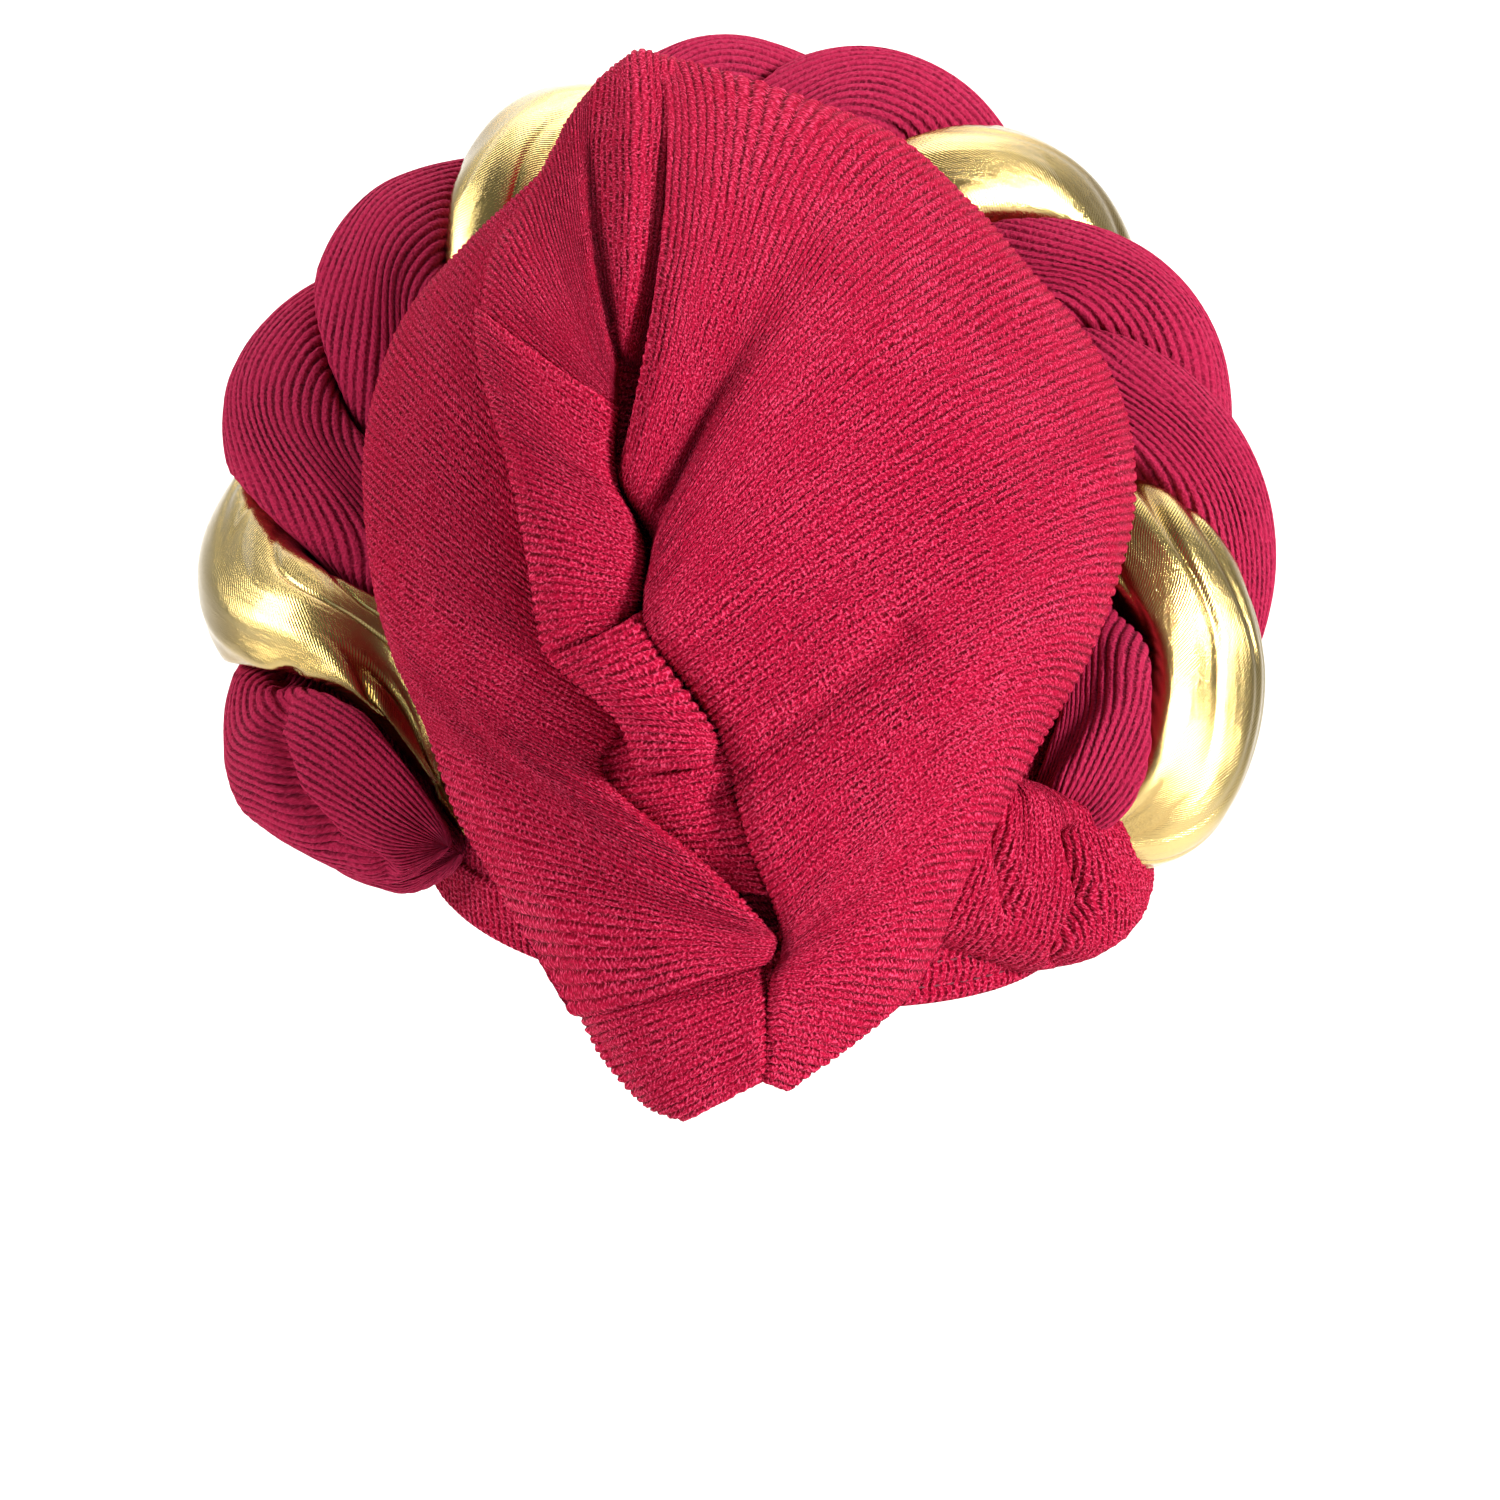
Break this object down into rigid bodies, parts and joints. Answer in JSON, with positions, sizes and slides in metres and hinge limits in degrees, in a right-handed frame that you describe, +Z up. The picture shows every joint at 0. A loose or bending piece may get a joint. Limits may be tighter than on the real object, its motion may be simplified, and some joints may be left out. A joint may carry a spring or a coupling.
{
  "type": "braided gele head tie",
  "caption": "Ready-tied head wrap: hollow ribbed cap with a hem band, a wine and gold braid standing round the back of the head, and a pleated back drape gathered to a seam.",
  "frame": {"origin": "middle of the head opening, level with the nape edge of the hem band, where the wearer's head sits", "axes": "+X to the wearer's right, +Y to the wearer's face, +Z up"},
  "size_m": [0.2796, 0.2323, 0.2756],
  "materials": {
    "wine_cloth": "matte ribbed crepe knit",
    "gold_cloth": "shiny metallic lame"
  },
  "bodies": {
    "root": {"base_cap": "wine_cloth", "rim_band": "wine_cloth", "braid_strand_gold": "gold_cloth", "braid_strand_wine_a": "wine_cloth", "braid_strand_wine_b": "wine_cloth", "drape_left_panel": "wine_cloth", "drape_right_panel": "wine_cloth"}
  },
  "joints": []
}
